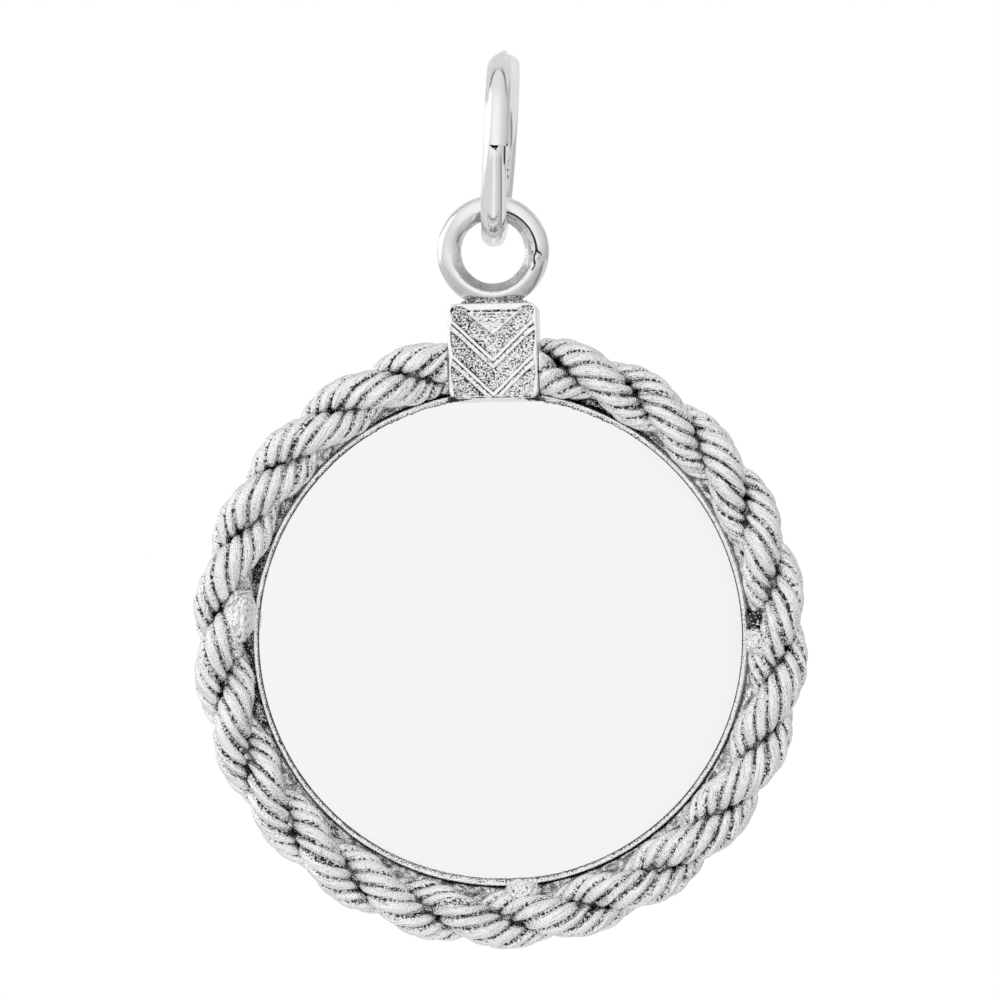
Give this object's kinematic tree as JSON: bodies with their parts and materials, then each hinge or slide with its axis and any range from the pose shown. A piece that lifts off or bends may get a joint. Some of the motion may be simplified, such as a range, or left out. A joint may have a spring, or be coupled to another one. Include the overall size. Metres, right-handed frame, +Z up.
{
  "type": "disc pendant",
  "caption": "Round blank disc pendant with a twisted rope border, a chevron tab with an eye ring, and a jump ring that it hangs from.",
  "frame": {"origin": "inside top of the jump ring, where a chain, cord or pin holds it", "axes": "+Z up, +X to the right as seen from the front, and the front of the disc faces -Y"},
  "size_m": [0.024, 0.0076, 0.0351],
  "materials": {
    "polished_silver": "polished silver wire",
    "cast_silver": "silver with a grainy skin, darkened in its low places and bright on its edges",
    "mirror_silver": "mirror polish with fine hairlines",
    "rope_silver": "satin silver wires with dark grooves between them"
  },
  "bodies": {
    "jump_ring": {"jump_ring": "polished_silver"},
    "pendant": {"setting": "cast_silver", "disc": "mirror_silver", "rope_strand_1": "rope_silver", "rope_strand_2": "rope_silver"}
  },
  "joints": [
    {"name": "pendant_swing", "type": "hinge", "parent": "jump_ring", "child": "pendant", "pos_m": [-0.00054, 0, -0.00618], "axis": [0, 1, 0], "range_deg": [-125, 125]}
  ]
}
